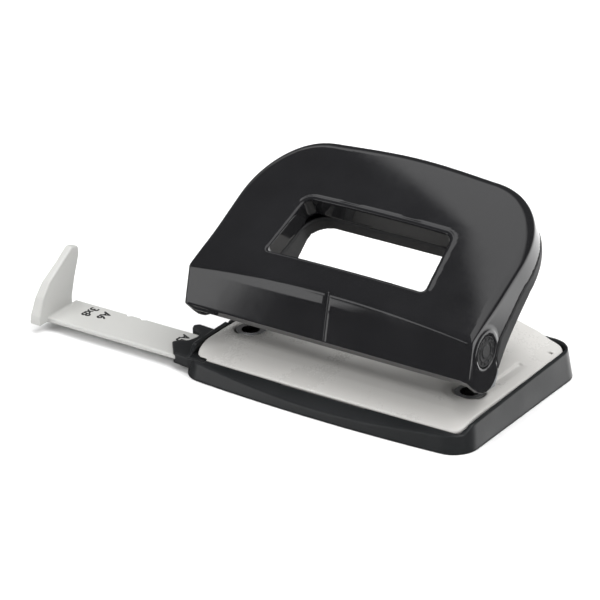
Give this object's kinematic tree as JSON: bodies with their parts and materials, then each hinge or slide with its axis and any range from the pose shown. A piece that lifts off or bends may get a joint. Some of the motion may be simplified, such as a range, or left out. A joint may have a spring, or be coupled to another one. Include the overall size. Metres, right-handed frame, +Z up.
{
  "type": "hole punch",
  "caption": "Desk hole punch with a sprung hinged handle, finger window, light grey plate over a black chip tray, and a sliding paper guide.",
  "frame": {"origin": "underside of the chip tray, midway between the two punches", "axes": "+Z up, +X to the user's right along the row of holes, +Y away from the user; paper goes in from -Y"},
  "size_m": [0.1617, 0.0736, 0.0645],
  "materials": {
    "gloss_black": "high gloss",
    "textured_black": "fine spark-eroded texture",
    "base_black": "fine satin texture",
    "light_grey": "soft gloss",
    "guide_grey": "satin",
    "zinc_steel": "zinc plated",
    "ground_steel": "ground",
    "dark_steel": "oiled dark",
    "spring_steel": "drawn wire"
  },
  "bodies": {
    "base": {"base_plate": "light_grey", "die_left": "ground_steel", "die_right": "ground_steel", "bracket_left": "zinc_steel", "bracket_right": "zinc_steel", "hinge_pin_left": "dark_steel", "hinge_pin_right": "dark_steel", "hinge_clip_left": "dark_steel", "hinge_clip_right": "dark_steel", "bracket_screw_left_1": "dark_steel", "bracket_screw_left_2": "dark_steel", "bracket_screw_right_1": "dark_steel", "bracket_screw_right_2": "dark_steel", "punch_guide_left": "dark_steel", "punch_guide_right": "dark_steel", "guide_holder": "base_black", "guide_detent_spring": "spring_steel", "return_spring_left": "spring_steel", "return_spring_right": "spring_steel"},
    "handle": {"handle_cover": "gloss_black", "handle_back": "textured_black", "lever_frame": "zinc_steel", "hinge_cap_left": "textured_black", "hinge_cap_right": "textured_black", "handle_screw_1": "dark_steel", "handle_screw_2": "dark_steel", "handle_screw_3": "dark_steel", "handle_screw_4": "dark_steel"},
    "punch_left": {"punch_pin_left": "ground_steel", "spring_collar_left": "dark_steel"},
    "punch_right": {"punch_pin_right": "ground_steel", "spring_collar_right": "dark_steel"},
    "guide": {"paper_guide": "guide_grey"},
    "tray": {"chip_tray": "base_black"}
  },
  "joints": [
    {"name": "handle_press", "type": "hinge", "parent": "base", "child": "handle", "pos_m": [0, -0.023, 0.0303], "axis": [-1, 0, 0], "range_deg": [0, 32], "stiffness_Nm_per_rad": 0.6, "springref_deg": -51.57},
    {"name": "punch_left_slide", "type": "slide", "parent": "base", "child": "punch_left", "axis": [0, 0, -1], "range_m": [0, 0.0058], "deforming": ["return_spring_left"]},
    {"name": "punch_right_slide", "type": "slide", "parent": "base", "child": "punch_right", "axis": [0, 0, -1], "range_m": [0, 0.0058], "deforming": ["return_spring_right"]},
    {"name": "guide_slide", "type": "slide", "parent": "base", "child": "guide", "axis": [1, 0, 0], "range_m": [-0.0435, 0.041]},
    {"name": "tray_open", "type": "hinge", "parent": "base", "child": "tray", "pos_m": [0, -0.035, 0.0062], "axis": [-1, 0, 0], "range_deg": [0, 35]}
  ],
  "couplings": [
    {"joint": "punch_left_slide", "follows": "handle_press", "m_per_rad": 0.01027},
    {"joint": "punch_right_slide", "follows": "handle_press", "m_per_rad": 0.01027}
  ]
}
